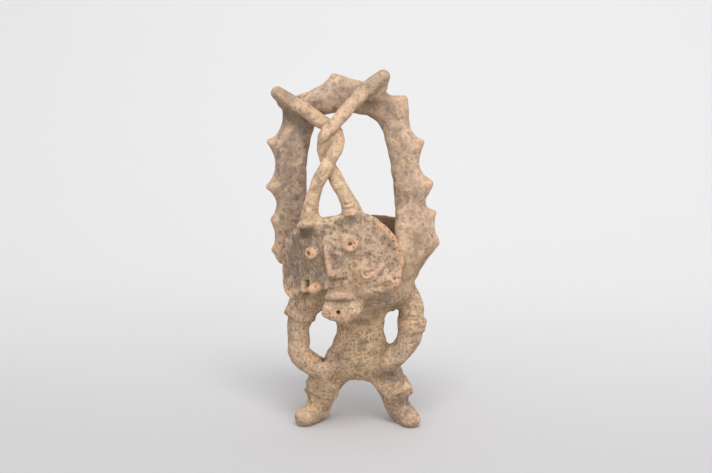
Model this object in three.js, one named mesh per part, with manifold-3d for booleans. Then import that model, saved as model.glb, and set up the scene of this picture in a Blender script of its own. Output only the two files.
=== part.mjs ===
// An incense burner of buff clay, built by hand from coils, slabs and pellets: a standing figure whose torso
// carries an open bowl. A curved mask with two twisted horns stands in front of the bowl, and a spiked
// handle arches over it. It was fired in one piece, so the whole work is one solid.
// Millimetres, +Z up. The figure faces -Y, its own left hand is at +X, and its soles stand on Z = 0.
import * as THREE from "three";
import { mergeVertices } from "three/addons/utils/BufferGeometryUtils.js";
import Module from "manifold-3d";

const wasm = await Module();
wasm.setup();

// The sculptor's frame has X = 0 on the torso. The part's origin is below the middle of its box.
const PLAN_CENTRE = { x: -6, y: -5 };
const GROUND = 410; // side of the block that levels the soles, wider than the work

// Bowl and the mask that is bent around it
const BOWL = { x: 2, y: 8, rimRadius: 73, wall: 9, rimHeight: 218, floorHeight: 150, rimTilt: 0.09 };
const MASK = { radius: 80, thickness: 9, rim: 3.5, swell: 6, yaw: -20, roll: 15, eyeHeight: 210 };
const EYES = { spread: 25, radius: 8, rise: 4, hole: 1.8 };
const CHEEKS = { spread: 34, drop: -40, radius: 8.5 };
const BROWS = { spread: 32, height: 33, radius: 4.5 };

// Handle: a strap wider across the front than it is deep, its outer edge pinched into spikes
const STRAP = { depth: 0.78, pinch: 0.026 };

const RAD = Math.PI / 180;
const ACROSS = new THREE.Vector3(0, 1, 0); // limbs are flattened along this direction

// A closed three.js geometry as a solid that can be joined and cut.
function solid(geometry) {
  const bare = geometry.clone();
  bare.deleteAttribute("normal");
  bare.deleteAttribute("uv");
  const merged = mergeVertices(bare, 1e-4);
  return new wasm.Manifold(
    new wasm.Mesh({
      numProp: 3,
      vertProperties: merged.attributes.position.array,
      triVerts: new Uint32Array(merged.index.array),
    }),
  );
}

// A hand-rolled coil of clay with round ends, through stations [x, y, z, radius].
// It is a capsule whose rings are moved along a smooth curve. Depth flattens it along ACROSS,
// spikes are tips [x, z] pinched out of its outer edge, each of them sharp at one ring.
function coil(stations, { sides = 8, steps, depth = 1, cap = 2, spikes = [] } = {}) {
  const count = steps ?? 2 * (stations.length - 1);
  const curve = new THREE.CatmullRomCurve3(stations.map(([x, y, z]) => new THREE.Vector3(x, y, z)));
  const radiusAt = (t) => {
    const along = Math.min(t * (stations.length - 1), stations.length - 1.000001);
    const before = Math.floor(along);
    return THREE.MathUtils.lerp(stations[before][3], stations[before + 1][3], along - before);
  };
  const pinches = spikes.map(([x, z]) => {
    const nearest = curve
      .getPoints(400)
      .map((point, i) => ({ t: i / 400, away: Math.hypot(point.x - x, point.z - z) }))
      .reduce((best, other) => (other.away < best.away ? other : best));
    return { t: nearest.t, height: nearest.away - radiusAt(nearest.t) };
  });
  const pinchAt = (t) =>
    Math.max(0, ...pinches.map(({ t: at, height }) => height * (1 - Math.abs(t - at) / STRAP.pinch)));

  const even = Array.from({ length: count + 1 }, (_, i) => i / count);
  const sharp = pinches.flatMap(({ t }) => [-1, -0.35, 0, 0.35, 1].map((share) => t + share * STRAP.pinch));
  const clear = even.filter((t) => pinches.every((spike) => Math.abs(spike.t - t) > 1.35 * STRAP.pinch));
  const rings = [...new Set([...clear, ...sharp])].sort((a, b) => a - b);

  const capsule = new THREE.CapsuleGeometry(1, 2, cap, sides, rings.length - 1);
  const place = capsule.attributes.position;
  for (let i = 0; i < place.count; i++) {
    const [across, height, out] = [place.getX(i), place.getY(i), place.getZ(i)];
    const even01 = THREE.MathUtils.clamp((height + 1) / 2, 0, 1);
    const t = rings[Math.round(even01 * (rings.length - 1))];
    const beyond = height - (2 * even01 - 1);
    const radius = radiusAt(t);
    const tangent = curve.getTangent(t);
    const side = new THREE.Vector3().crossVectors(ACROSS, tangent).normalize();
    const face = new THREE.Vector3().crossVectors(side, tangent);
    const pinched = pinchAt(t) * Math.max(0, -across) ** 4;
    const point = curve
      .getPoint(t)
      .addScaledVector(tangent, beyond * radius)
      .addScaledVector(side, across * radius - pinched)
      .addScaledVector(face, out * radius * depth);
    place.setXYZ(i, point.x, point.y, point.z);
  }
  return solid(capsule);
}

// A lump of clay: an ellipsoid with its own half-sizes, turned about the upright and tipped sideways.
function lump([x, y, z], [rx, ry, rz], turn, tip) {
  const ball = new THREE.SphereGeometry(1, 12, 8);
  ball.scale(rx, ry, rz).rotateY(tip * RAD).rotateZ(turn * RAD).translate(x, y, z);
  return solid(ball);
}

// A cuff or band wound around a limb: a short cone frustum from one end to the other.
function cuff(top, bottom, topRadius, bottomRadius) {
  const from = new THREE.Vector3(...top);
  const to = new THREE.Vector3(...bottom);
  const ring = new THREE.CylinderGeometry(topRadius, bottomRadius, from.distanceTo(to), 14);
  const along = new THREE.Vector3().subVectors(from, to).normalize();
  const middle = new THREE.Vector3().addVectors(from, to).multiplyScalar(0.5);
  ring.applyQuaternion(new THREE.Quaternion().setFromUnitVectors(new THREE.Vector3(0, 1, 0), along));
  ring.translate(middle.x, middle.y, middle.z);
  return solid(ring);
}

function join(pieces) {
  return pieces.reduce((whole, piece) => whole.add(piece));
}

// A place on the mask: u to the viewer's right and w up from between the eyes, both along the
// bent slab, and out from its face.
function onMask(u, w, out = 0) {
  const [cos, sin] = [Math.cos(MASK.roll * RAD), Math.sin(MASK.roll * RAD)];
  const angle = (u * cos - w * sin) / MASK.radius + MASK.yaw * RAD;
  const radius = MASK.radius + out;
  return [
    BOWL.x + radius * Math.sin(angle),
    BOWL.y - radius * Math.cos(angle),
    MASK.eyeHeight + u * sin + w * cos,
  ];
}

// The direction that points out of the mask at (u, w).
function outOfMask(u, w) {
  const near = new THREE.Vector3(...onMask(u, w, 0));
  return new THREE.Vector3(...onMask(u, w, 1)).sub(near).normalize();
}

// The bowl is turned about its own axis. Its rim rises a little towards the back.
function turnedBowl(profile) {
  const turned = new THREE.LatheGeometry(profile.map(([r, z]) => new THREE.Vector2(r, z)), 28);
  turned.rotateX(Math.PI / 2);
  const place = turned.attributes.position;
  for (let i = 0; i < place.count; i++) {
    const share = THREE.MathUtils.smoothstep(place.getZ(i), BOWL.floorHeight + 10, BOWL.rimHeight);
    place.setZ(i, place.getZ(i) + share * BOWL.rimTilt * place.getY(i));
  }
  turned.translate(BOWL.x, BOWL.y, 0);
  return solid(turned);
}

function bowlOutside() {
  const { rimRadius, rimHeight } = BOWL;
  const belly = [[0, 122], [26, 124], [38, 136], [51, 150], [62, 165], [70, 186]];
  return turnedBowl([...belly, [rimRadius, rimHeight - 8], [rimRadius - 2, rimHeight], [0, rimHeight]]);
}

function bowlHollow() {
  const { rimRadius, rimHeight, floorHeight, wall } = BOWL;
  const floor = [[0, floorHeight], [30, floorHeight], [50, 170], [70 - wall, 188]];
  const mouth = [[rimRadius - wall, rimHeight - 8], [rimRadius - wall + 3, rimHeight + 9], [0, rimHeight + 9]];
  return turnedBowl([...floor, ...mouth]);
}

// The mask: a slab of even thickness cut to an outline with two hanging lobes, with a rolled edge
// down both sides, and bent around the bowl. Its edge on the viewer's left stands off that round.
function maskSlab() {
  const outline = [
    [9, 32], [45, 30], [66, 13], [78, -12], [77, -36], [67, -59], [58, -60], [47, -50], [22, -47],
    [-4, -43], [-36, -42], [-58, -44], [-74, -45], [-84, -34], [-86, -6], [-74, 18], [-38, 30],
  ].map(([u, w]) => new THREE.Vector3(u, w, 0));
  const edge = new THREE.CatmullRomCurve3(outline, true);
  const heart = new THREE.Vector3(0, 4, 0);
  const shares = [0, 0.45, 0.8, 0.96, 1, 0.96, 0.8, 0.45, 0];
  const outermost = shares.indexOf(1);
  const around = 36;
  const slab = new THREE.SphereGeometry(1, around, shares.length - 1);
  const place = slab.attributes.position;
  for (let i = 0; i < place.count; i++) {
    const ring = Math.floor(i / (around + 1));
    const turn = (i % (around + 1)) / around;
    const flat = edge.getPoint(turn % 1).sub(heart).multiplyScalar(shares[ring]).add(heart);
    const front = Math.sign(ring - outermost) / 2;
    const rolled = ring === outermost + 1 && Math.abs(flat.x) > 58 ? MASK.rim : 0;
    const swell = MASK.swell * THREE.MathUtils.smoothstep(-flat.x, 38, 84);
    place.setXYZ(i, ...onMask(flat.x, flat.y, (front - 0.5) * MASK.thickness + rolled + swell));
  }
  return solid(slab);
}

// A pellet pressed on the mask, with a hole poked in it.
function eye(side) {
  const u = side * EYES.spread;
  const { radius, rise, hole } = EYES;
  const turned = new THREE.Quaternion().setFromUnitVectors(new THREE.Vector3(0, 1, 0), outOfMask(u, 0));
  const profile = [[0, -6], [radius, -5], [radius, rise * 0.3], [radius * 0.7, rise], [0, rise * 0.6]];
  const pellet = new THREE.LatheGeometry(profile.map(([r, h]) => new THREE.Vector2(r, h)), 12);
  pellet.applyQuaternion(turned).translate(...onMask(u, 0));
  const poked = new THREE.CylinderGeometry(hole, hole, 3 * rise, 6);
  poked.applyQuaternion(turned).translate(...onMask(u, 0, rise));
  return { pellet: solid(pellet), poked: solid(poked) };
}

// The nose is a ridge that widens to a blunt end.
function nose() {
  return coil([[...onMask(2, 18, -1), 4], [...onMask(1, -6, 3), 6.5], [...onMask(2, -28, 3), 9.5]], { cap: 1 });
}

function cheek(side) {
  const u = side * CHEEKS.spread;
  const root = [...onMask(u, CHEEKS.drop, -4), CHEEKS.radius];
  return coil([root, [...onMask(u, CHEEKS.drop - 2, 4), 6]], { steps: 1 });
}

function brow(side) {
  const u = side * BROWS.spread;
  const [near, far] = [onMask(u - 6, BROWS.height, 1), onMask(u + 6, BROWS.height, 1)];
  return coil([[...near, BROWS.radius], [...far, BROWS.radius]], { sides: 6, steps: 1 });
}

// The mouth juts from the neck below the mask: an upper lip over a heavy chin with a hole poked in it.
function mouth() {
  const neck = coil([[0, -30, 142, 22], [-8, -62, 150, 19]], { sides: 10, steps: 1 });
  const chin = lump([-11, -74, 147], [21.5, 17, 16], MASK.yaw / 2, -6);
  const lip = coil([[-23, -79, 161, 6.5], [-9, -85, 163, 7], [5, -81, 164, 6.5]], { steps: 3 });
  const poked = new THREE.CylinderGeometry(2.2, 2.2, 16, 6).translate(-13, -92, 146);
  return join([neck, chin, lip]).subtract(solid(poked));
}

function torso() {
  const trunk = [[3, 5, 150, 40], [3, 3, 128, 29], [4, 0, 109, 27], [3, -1, 92, 29.5], [2, -1, 76, 31]];
  return coil(trunk, { sides: 14, depth: 0.84, steps: 6 });
}

// Each leg ends in a stubby foot that turns a little outwards.
function legs() {
  const right = [[-8, 2, 86, 13], [-26, 0, 63, 19.5], [-38, -2, 42, 18.5], [-42, 0, 25, 14.5], [-45, 2, 12, 13]];
  const left = [[12, 2, 86, 13], [28.5, 0, 63, 19.5], [39, -2, 43, 17], [43.5, 0, 25, 15], [48, 2, 12, 13]];
  const rightFoot = [[-45, 12, 8, 12], [-50, -8, 8.5, 13], [-58, -24, 8.5, 11.5]];
  const leftFoot = [[50, 12, 8, 12], [54, -5, 8.5, 12.5], [61, -17, 8, 11]];
  return join([right, left, rightFoot, leftFoot].map((stations) => coil(stations, { sides: 10 })));
}

// Bands below the knees, each with a pinched point on its outer side.
function kneeBands() {
  const right = cuff([-36, -1, 48], [-42, -1, 31], 19.5, 18.5);
  const left = cuff([38, -1, 49.5], [43.5, -1, 33], 15.8, 19);
  return join([right, left, point([-46, -1, 38], [-60, -2, 34]), point([48, -1, 38], [60.5, -2, 34])]);
}

// A pinched point from a place inside the clay to its tip.
function point(root, tip) {
  return coil([[...root, 9], [...tip, 2.5]], { sides: 6, steps: 1, cap: 1 });
}

// The arms hang from the shoulders of the bowl and the hands rest on the hips.
function arms() {
  const right = [
    [-30, -6, 152, 19],
    [-47, -7, 146, 18],
    [-59, -6, 133, 14.5],
    [-66, -5, 115, 13.5],
    [-65, -5, 98, 13],
    [-62.5, -8, 81, 12.5],
    [-51, -13, 69.5, 11.5],
    [-36, -18, 60.5, 10],
  ];
  const left = [
    [30, -4, 150, 20],
    [46, -3, 150, 18],
    [58.5, -3, 137, 14.2],
    [60.5, -3, 116, 14],
    [56, -6, 96, 13.5],
    [46, -13, 82, 12.5],
    [33, -18, 72, 10.5],
  ];
  return coil(right, { sides: 10 }).add(coil(left, { sides: 10 }));
}

function armCuffs() {
  const sleeve = cuff([-59, -6, 145], [-66, -5, 119], 13.5, 17.5);
  const bracelet = cuff([60, -3, 119], [60, -4, 108], 14.5, 16);
  return join([sleeve, bracelet, point([-70, -5, 128], [-82, -5, 124])]);
}

// The handle: a strap from side to side of the bowl.
function handle() {
  const strap = [
    [-68, 6, 192, 13],
    [-73, 4, 208, 15],
    [-72, 1, 250, 15.5],
    [-74, 0, 290, 16.5],
    [-69, 0, 328, 16.5],
    [-53, 0, 354, 17],
    [-29, 0, 365, 17],
    [-8, 0, 367, 17.5],
    [11, 0, 365, 18],
    [29, 0, 352, 18],
    [42, 0, 328, 16.5],
    [50, 0, 300, 16],
    [58, -3, 256, 16],
    [62, -14, 226, 18],
    [63, -20, 200, 17],
  ];
  const spikes = [
    [-97, 198],
    [-97, 229],
    [-103, 266],
    [-102, 317],
    [-28, 394],
    [54, 364],
    [72, 320],
    [82, 276],
    [88, 242],
    [91, 206],
  ];
  return coil(strap, { steps: 24, depth: STRAP.depth, spikes });
}

// Two horns rise from the mask, twist once about each other and end as points on the handle.
function horns() {
  const fromRight = [
    [-51, -40, 231, 11],
    [-49, -50, 247, 10],
    [-40, -54, 276, 7.5],
    [-29, -54, 297, 7.5],
    [-20, -46, 313, 7],
    [-18, -37, 325, 7],
    [-23, -28, 335, 7],
    [-37, -22, 341, 7.5],
    [-58, -18, 355, 8],
    [-86, -14, 371, 6.5],
  ];
  const fromLeft = [
    [1, -56, 236, 11],
    [-1, -64, 251, 10],
    [-9, -60, 268, 8],
    [-20, -47, 284, 7.5],
    [-30, -38, 300, 7],
    [-34, -37, 315, 7],
    [-31, -40, 328, 7],
    [-20, -38, 342, 7.5],
    [-3, -28, 362, 8],
    [14, -21, 379, 8],
    [28, -16, 391, 7],
  ];
  // Between the two crossings the horns are thumbed together.
  const thumbed = lump([-26, -38, 314], [6, 5, 12], 0, 0);
  return join([coil(fromRight, { steps: 16 }), coil(fromLeft, { steps: 17 }), thumbed]);
}

function burner() {
  const [rightEye, leftEye] = [eye(-1), eye(1)];
  const body = join([bowlOutside(), torso(), legs(), kneeBands(), arms(), armCuffs(), mouth()]);
  const features = [rightEye.pellet, leftEye.pellet, nose(), cheek(-1), cheek(1), brow(-1), brow(1)];
  // The soles are worn flat where they stand.
  const ground = new THREE.BoxGeometry(GROUND, GROUND, GROUND).translate(0, 0, -GROUND / 2);
  return join([body.subtract(bowlHollow()), handle(), horns(), maskSlab(), ...features])
    .subtract(rightEye.poked)
    .subtract(leftEye.poked)
    .subtract(solid(ground));
}

// A solid as a three.js geometry in the part's frame.
function geometryOf(work) {
  const { vertProperties, triVerts } = work.getMesh();
  const geometry = new THREE.BufferGeometry();
  geometry.setAttribute("position", new THREE.BufferAttribute(new Float32Array(vertProperties), 3));
  geometry.setIndex(new THREE.BufferAttribute(new Uint32Array(triVerts), 1));
  geometry.translate(-PLAN_CENTRE.x, -PLAN_CENTRE.y, 0);
  geometry.computeVertexNormals();
  return geometry;
}

const clay = new THREE.MeshStandardMaterial({ color: 0xb39478, roughness: 0.92, metalness: 0 });
const mesh = new THREE.Mesh(geometryOf(burner()), clay);
mesh.name = "incense_burner";

const part = new THREE.Group();
part.add(mesh);
export default part;
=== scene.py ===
"""A hand-built clay incense burner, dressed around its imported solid.

The form is worked as one block of clay: signed distances on a grid, in millimetres, in the sculptor's
frame, where X = 0 is on the torso, the figure faces -Y and its soles stand on Z = 0. Coils, slabs, lumps
and cuts are pressed together with soft joins, the surface is kneaded, and the skin is taken off as a mesh.
"""
import math

import bmesh
import bpy
import numpy as np
import openvdb
from mathutils import Matrix, Vector


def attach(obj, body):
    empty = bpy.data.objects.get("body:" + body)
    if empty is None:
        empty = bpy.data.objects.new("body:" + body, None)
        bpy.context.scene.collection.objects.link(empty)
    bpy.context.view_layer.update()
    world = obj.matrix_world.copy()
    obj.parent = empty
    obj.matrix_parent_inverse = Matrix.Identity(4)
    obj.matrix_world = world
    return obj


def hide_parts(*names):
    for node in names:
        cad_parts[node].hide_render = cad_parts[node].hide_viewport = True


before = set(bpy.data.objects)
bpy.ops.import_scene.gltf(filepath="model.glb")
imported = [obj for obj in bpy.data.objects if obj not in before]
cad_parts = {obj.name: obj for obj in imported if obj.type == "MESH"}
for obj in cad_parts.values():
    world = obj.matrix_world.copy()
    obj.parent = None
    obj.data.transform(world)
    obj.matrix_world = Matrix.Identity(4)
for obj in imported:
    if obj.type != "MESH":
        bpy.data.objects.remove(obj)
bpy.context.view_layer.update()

MM = 0.001
PLAN_CENTRE = np.array([-6.0, -5.0, 0.0])  # below the middle of the object's box, in the sculptor's frame
TRIANGLES = 196000

# Sizes shared with the solid. Left and right are the viewer's
BOWL_X, BOWL_Y, RIM_RADIUS, RIM_HEIGHT, FLOOR_HEIGHT, RIM_TILT = 2.0, 8.0, 73.0, 218.0, 150.0, 0.09
MASK_RADIUS, MASK_THICKNESS, EYE_HEIGHT = 80.0, 9.0, 210.0
MASK_YAW, MASK_ROLL = math.radians(-20), math.radians(15)
MASK_SWELL = 6.5  # how far the mask's left edge stands off its round

# Block of clay: the side of a cell, the block's corners, and the distance in empty cells
PITCH = 1.0
LOW, HIGH = np.array([-106.0, -94.0, -3.0]), np.array([95.0, 84.0, 401.0])
FAR = 24.0
size = np.ceil((HIGH - LOW) / PITCH).astype(int) + 1
AXES = [LOW[k] + PITCH * np.arange(size[k]) for k in range(3)]
clay = np.full(size, FAR, np.float32)

MARGIN = 8.0  # how far round a form its distances are worked out
TINY = 1e-9  # keeps a divisor off zero, and a path's end within its last run


def window(low, high):
    """Slices of the block around a box, and its coordinates as three broadcastable arrays."""
    a = np.clip(np.floor((np.array(low) - LOW) / PITCH).astype(int), 0, size - 1)
    b = np.clip(np.ceil((np.array(high) - LOW) / PITCH).astype(int) + 1, 1, size)
    cut = tuple(slice(a[k], max(b[k], a[k] + 1)) for k in range(3))
    x, y, z = (AXES[k][cut[k]].astype(np.float32) for k in range(3))
    return cut, x[:, None, None], y[None, :, None], z[None, None, :]


def smooth_min(a, b, soft):
    h = np.maximum(soft - np.abs(a - b), 0.0) / soft
    return np.minimum(a, b) - h * h * soft * 0.25


def press(cut, distance, soft):
    """Joins a form to the clay with a soft seam."""
    clay[cut] = smooth_min(clay[cut], distance.astype(np.float32), soft)


def carve(cut, distance, soft):
    """Takes a form out of the clay."""
    clay[cut] = -smooth_min(-clay[cut], distance.astype(np.float32), soft)


def ease(value, low, high):
    t = np.clip((value - low) / (high - low), 0, 1)
    return t * t * (3 - 2 * t)


def spline(points, count):
    """A centripetal Catmull-Rom path in x, y, z. Further columns run straight between stations."""
    points = np.asarray(points, float)
    n = len(points)
    if n == 2:
        t = np.linspace(0, 1, count)[:, None]
        return points[:1] * (1 - t) + points[1:] * t
    ends = np.vstack([2 * points[0] - points[1], points, 2 * points[-1] - points[-2]])
    out = []
    for u in np.linspace(0, n - 1 - TINY, count):
        i = int(u)
        p0, p1, p2, p3 = ends[i], ends[i + 1], ends[i + 2], ends[i + 3]
        spans = ((p0, p1), (p1, p2), (p2, p3))
        d0, d1, d2 = (max(np.linalg.norm(b[:3] - a[:3]) ** 0.5, 1e-4) for a, b in spans)
        m1 = ((p1 - p0) / d0 - (p2 - p0) / (d0 + d1) + (p2 - p1) / d1) * d1
        m2 = ((p2 - p1) / d1 - (p3 - p1) / (d1 + d2) + (p3 - p2) / d2) * d1
        w = u - i
        c = (2 * w**3 - 3 * w**2 + 1) * p1 + (w**3 - 2 * w**2 + w) * m1
        c = c + (3 * w**2 - 2 * w**3) * p2 + (w**3 - w**2) * m2
        c[3:] = p1[3:] * (1 - w) + p2[3:] * w
        out.append(c)
    return np.array(out)


def flat_spline(points, count):
    """The same path through points [x, y] of a plane."""
    return spline([[x, y, 0.0] for x, y in points], count)[:, :2]


def closed_spline(points, steps):
    """A smooth closed outline through points [x, y], with the given steps from point to point."""
    wrapped = [*points[-3:], *points, *points[:3]]
    path = flat_spline(wrapped, steps * (len(wrapped) - 1) + 1)
    return path[3 * steps : (3 + len(points)) * steps]


def coil_field(stations, depth=1.0, count=None, margin=12.0):
    """Distance to a rolled coil through stations [x, y, z, radius]. Depth flattens it along Y."""
    path = spline(stations, count or 7 * (len(stations) - 1) + 1)
    reach = path[:, 3:4].max() + margin
    cut, x, y, z = window(path[:, :3].min(0) - reach, path[:, :3].max(0) + reach)
    field = np.full((x.size, y.size, z.size), FAR, np.float32)
    start = [c.start for c in cut]
    for a, b in zip(path[:-1], path[1:]):
        r = max(a[3], b[3]) + margin
        small, sx, sy, sz = window(np.minimum(a, b)[:3] - r, np.maximum(a, b)[:3] + r)
        ab = (b - a)[:3] / np.array([1, depth, 1])
        length2 = float(ab @ ab) + TINY
        px, py, pz = sx - a[0], (sy - a[1]) / depth, sz - a[2]
        t = np.clip((px * ab[0] + py * ab[1] + pz * ab[2]) / length2, 0, 1)
        far = np.sqrt((px - t * ab[0]) ** 2 + (py - t * ab[1]) ** 2 + (pz - t * ab[2]) ** 2)
        d = far - (a[3] + (b[3] - a[3]) * t)
        local = tuple(slice(small[k].start - start[k], small[k].stop - start[k]) for k in range(3))
        field[local] = np.minimum(field[local], d)
    return cut, field


def coil(stations, soft, depth=1.0, count=None):
    press(*coil_field(stations, depth, count), soft)


def groove(stations, soft=0.6):
    carve(*coil_field(stations, margin=3.0), soft)


def on_front(x, z, sink=0.0):
    """The place where a line of sight from the front meets the clay at x and z, sunk a little."""
    i = int(round((x - LOW[0]) / PITCH))
    k = int(round((z - LOW[2]) / PITCH))
    inside_clay = clay[i, :, k] < 0
    first = int(np.argmax(inside_clay)) if inside_clay.any() else size[1] // 2
    return [x, float(AXES[1][first]) + sink, z]


def scratch(points, radius):
    """A crease in the front surface through points [x, z]. It starts and ends shallow."""
    path = flat_spline(points, 5 * (len(points) - 1) + 1)
    depth = np.sin(np.linspace(0.12, math.pi - 0.12, len(path)))
    groove([[*on_front(x, z, -0.35 * radius), radius * d] for (x, z), d in zip(path, depth)])


def lump(centre, radii, soft, turn=0.0, tip=0.0):
    """An ellipsoid, turned about the upright and tipped sideways."""
    reach = max(radii) + MARGIN
    cut, x, y, z = window(np.array(centre) - reach, np.array(centre) + reach)
    m = (Matrix.Rotation(turn, 3, "Z") @ Matrix.Rotation(tip, 3, "Y")).transposed()
    px, py, pz = x - centre[0], y - centre[1], z - centre[2]
    q = [(m[k][0] * px + m[k][1] * py + m[k][2] * pz) / radii[k] for k in range(3)]
    share = (q[0] ** 2 + q[1] ** 2 + q[2] ** 2) ** 0.5
    press(cut, (share - 1.0) * min(radii), soft)


def rounded(a, b, edge):
    """Distance to what two forms share, with the corner between them rounded by edge."""
    a, b = a + edge, b + edge
    return np.minimum(np.maximum(a, b), 0) + np.hypot(np.maximum(a, 0), np.maximum(b, 0)) - edge


def disc_field(base, top, r0, r1, edge):
    """Distance to a cone frustum from base to top: a cuff or a poked hole."""
    base, top = np.array(base, float), np.array(top, float)
    reach = max(r0, r1) + MARGIN
    cut, x, y, z = window(np.minimum(base, top) - reach, np.maximum(base, top) + reach)
    axis = top - base
    length = np.linalg.norm(axis)
    axis = axis / length
    px, py, pz = x - base[0], y - base[1], z - base[2]
    h = px * axis[0] + py * axis[1] + pz * axis[2]
    rad = np.sqrt(np.maximum(px**2 + py**2 + pz**2 - h**2, 0))
    r_here = r0 + (r1 - r0) * np.clip(h / length, 0, 1)
    slope = math.cos(math.atan2(r1 - r0, length))
    side, cap = (rad - r_here) * slope, np.abs(h - length / 2) - length / 2
    return cut, rounded(side, cap, edge)


def path_distance(x, y, path):
    """Distance in the plane to a path of straight runs. x and y are arrays of one shape."""
    nearest = np.full(x.shape, np.inf)
    for (ax, ay), (bx, by) in zip(path[:-1], path[1:]):
        ex, ey = bx - ax, by - ay
        t = np.clip(((x - ax) * ex + (y - ay) * ey) / (ex * ex + ey * ey + TINY), 0, 1)
        nearest = np.minimum(nearest, (x - ax - t * ex) ** 2 + (y - ay - t * ey) ** 2)
    return np.sqrt(nearest)


def outline_distance(x, y, points):
    """The same to a closed outline, negative inside."""
    ring = np.vstack([points, points[:1]])
    inside = np.zeros(x.shape, bool)
    for (ax, ay), (bx, by) in zip(ring[:-1], ring[1:]):
        rise = by - ay if abs(by - ay) > TINY else TINY
        crosses = (ay > y) != (by > y)
        inside ^= crosses & (x < ax + (y - ay) * (bx - ax) / rise)
    return np.where(inside, -1, 1) * path_distance(x, y, ring)


def plane(low, high, step):
    """The two coordinates of a table that covers a plane from its low corner to its high one."""
    return np.meshgrid(*(np.arange(a, b, step) for a, b in zip(low, high)), indexing="ij")


def look_up(table, origin, step, u, v):
    """Bilinear reading of a table over the plane."""
    fu = np.clip((u - origin[0]) / step, 0, table.shape[0] - 1.001)
    fv = np.clip((v - origin[1]) / step, 0, table.shape[1] - 1.001)
    iu, iv = fu.astype(np.int32), fv.astype(np.int32)
    fu, fv = fu - iu, fv - iv
    near = table[iu, iv] * (1 - fu) + table[iu + 1, iv] * fu
    far = table[iu, iv + 1] * (1 - fu) + table[iu + 1, iv + 1] * fu
    return near * (1 - fv) + far * fv


# The mask's own coordinates
def on_mask(u, w, out):
    """u to the viewer's right and w up from between the eyes, along the bent slab; out from its face."""
    c, s = math.cos(MASK_ROLL), math.sin(MASK_ROLL)
    angle = (u * c - w * s) / MASK_RADIUS + MASK_YAW
    radius = MASK_RADIUS + out
    return [BOWL_X + radius * math.sin(angle), BOWL_Y - radius * math.cos(angle), EYE_HEIGHT + u * s + w * c]


def mask_uwr(x, y, z):
    """The same the other way round, for arrays."""
    dx, dy = x - BOWL_X, y - BOWL_Y
    radius = np.sqrt(dx**2 + dy**2) + 0 * z
    arc = (np.arctan2(dx, -dy) - MASK_YAW) * MASK_RADIUS + 0 * z
    rise = z - EYE_HEIGHT + 0 * arc
    c, s = math.cos(MASK_ROLL), math.sin(MASK_ROLL)
    return arc * c + rise * s, -arc * s + rise * c, radius


# How far the gaps fall, and drift to the left, for each mm they run back from GAP_FRONT
GAP_FRONT, GAP_FALL, GAP_DRIFT = -9.0, 0.176, 0.087
GAP_REACH = 40  # further out than any arm, to the front and back


def cut_gap(points):
    """Opens the clay from front to back inside a closed outline of points [x, z]."""
    outline = closed_spline(points, 6)
    (x0, z0), (x1, z1) = outline.min(0) - 12, outline.max(0) + 12
    cut, x, y, z = window([x0, -GAP_REACH, z0], [x1, GAP_REACH, z1])
    depth = y - GAP_FRONT
    flat = outline_distance(x + GAP_DRIFT * depth + 0 * z, z + GAP_FALL * depth + 0 * x, outline)
    carve(cut, flat, 2.5)


# Bowl, with its profiles [radius, height] from the axis out, up and back to the axis
BOWL_OUTSIDE = [
    (0, 121), (26, 123), (39, 136), (52, 150), (62.5, 165), (69.5, 186), (72.0, 208), (70.3, 218), (0, 218.5),
]
BOWL_HOLLOW = [
    (0, FLOOR_HEIGHT), (30, FLOOR_HEIGHT), (50, 170), (61, 188), (64, 208), (66, 222), (67, 232), (0, 232),
]
PROFILE_LOW, PROFILE_HIGH, PROFILE_STEP = (0, 100), (90, 240), 0.5
BOWL_REACH = RIM_RADIUS + 11


def turned(points):
    """A table of distances to a profile turned about the bowl's axis, over radius and height."""
    corners = [*flat_spline(points[:-1], 60), points[-1]]
    ring = np.array(corners + [(-r, z) for r, z in corners[::-1] if r > 0])
    return outline_distance(*plane(PROFILE_LOW, PROFILE_HIGH, PROFILE_STEP), ring).astype(np.float32)


def bowl_distance(table, x, y, z):
    """Distance to a turned profile whose rim rises towards the back."""
    radius = np.sqrt((x - BOWL_X) ** 2 + (y - BOWL_Y) ** 2) + 0 * z
    level = z - ease(z, FLOOR_HEIGHT + 10, RIM_HEIGHT) * RIM_TILT * (y - BOWL_Y) + 0 * x
    return look_up(table, PROFILE_LOW, PROFILE_STEP, radius, level)


bowl_cut, *bowl_at = window(
    [BOWL_X - BOWL_REACH, BOWL_Y - BOWL_REACH, 104], [BOWL_X + BOWL_REACH, BOWL_Y + BOWL_REACH, 236]
)
hollow = turned(BOWL_HOLLOW)
press(bowl_cut, bowl_distance(turned(BOWL_OUTSIDE), *bowl_at), 1.0)

# Trunk, legs and feet run into one another. Every coil goes through stations [x, y, z, radius]
TRUNK = [[3, 5, 150, 40], [3, 3, 128, 29], [4, 0, 109, 27], [3, -1, 92, 29.5], [2, -1, 77.5, 29]]
LEFT_LEG = [[-8, 2, 86, 13], [-26, 0, 63, 20], [-38, -2, 42, 18], [-42, 0, 25, 14.2], [-45, 2, 13, 13]]
RIGHT_LEG = [[12, 2, 86, 13], [28.5, 0, 63, 19], [38.8, -2, 43, 16.5], [43, 0, 25, 15], [48, 2, 13, 13]]
LEFT_FOOT = [[-45, 12, 9, 11.5], [-50, -8, 9, 12.6], [-58, -24, 9, 11.2]]
RIGHT_FOOT = [[50, 12, 9, 11.5], [54, -5, 9, 12.2], [61, -17, 8.5, 10.8]]
coil(TRUNK, 12, depth=0.84)
coil(LEFT_LEG, 15)
coil(RIGHT_LEG, 14)
coil(LEFT_FOOT, 6)
coil(RIGHT_FOOT, 6)

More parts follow.
